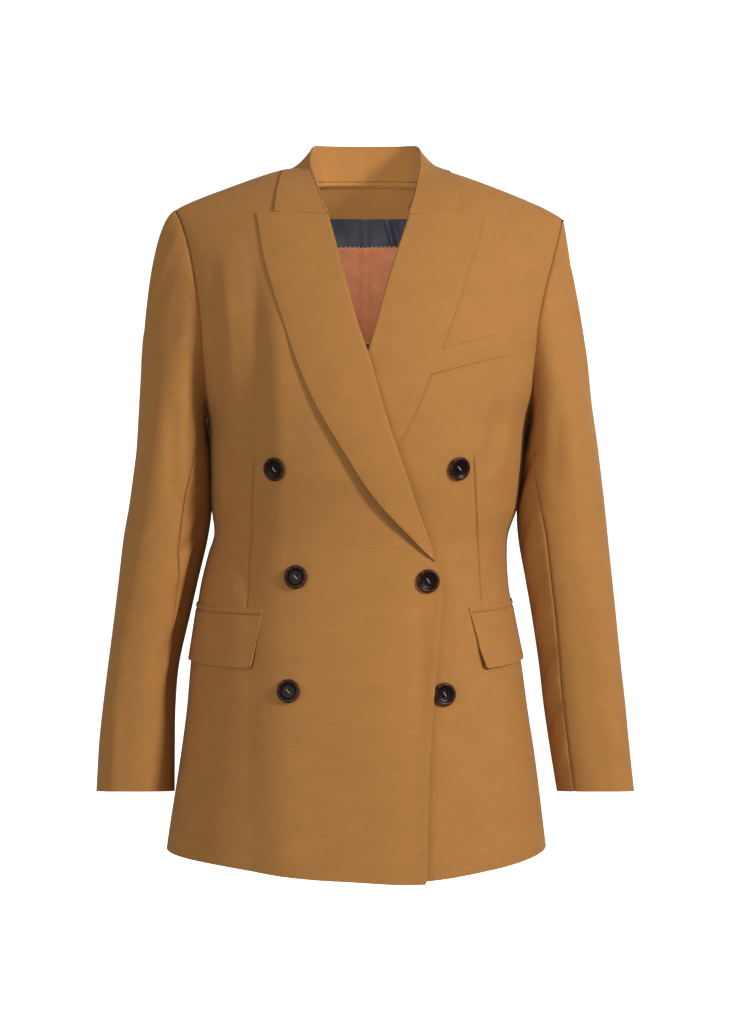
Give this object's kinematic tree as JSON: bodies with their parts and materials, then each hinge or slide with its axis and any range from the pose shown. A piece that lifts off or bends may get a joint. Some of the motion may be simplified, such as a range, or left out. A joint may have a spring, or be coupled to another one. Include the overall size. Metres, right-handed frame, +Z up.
{
  "type": "double breasted blazer",
  "caption": "Double breasted blazer, worn form and hollow, with wide peaked lapels, a breast welt, flap pockets and buttons in show rows.",
  "frame": {"origin": "middle of the neck opening at shoulder height, where the blazer is held", "axes": "+Z up along the body, -Y out of the front, +X towards the wearer's left"},
  "size_m": [0.5672, 0.2859, 0.7542],
  "materials": {
    "camel_wool": "matte fine plain weave wool",
    "navy_satin": "soft satin lining",
    "copper_satin": "soft satin label, plain",
    "dark_horn": "polished dark horn"
  },
  "bodies": {
    "root": {"front_right": "camel_wool", "front_left": "camel_wool", "side_right": "camel_wool", "side_left": "camel_wool", "back_right": "camel_wool", "back_left": "camel_wool", "top_sleeve_right": "camel_wool", "top_sleeve_left": "camel_wool", "under_sleeve_right": "camel_wool", "under_sleeve_left": "camel_wool", "lapel_right": "camel_wool", "lapel_left": "camel_wool", "collar_leaf": "camel_wool", "collar_stand": "camel_wool", "neck_facing": "camel_wool", "breast_welt": "camel_wool", "jet_right": "camel_wool", "jet_left": "camel_wool", "flap_right": "camel_wool", "flap_left": "camel_wool", "back_lining": "navy_satin", "label": "copper_satin", "button_1": "dark_horn", "button_2": "dark_horn", "button_3": "dark_horn", "button_4": "dark_horn", "button_5": "dark_horn", "button_6": "dark_horn"}
  },
  "joints": []
}
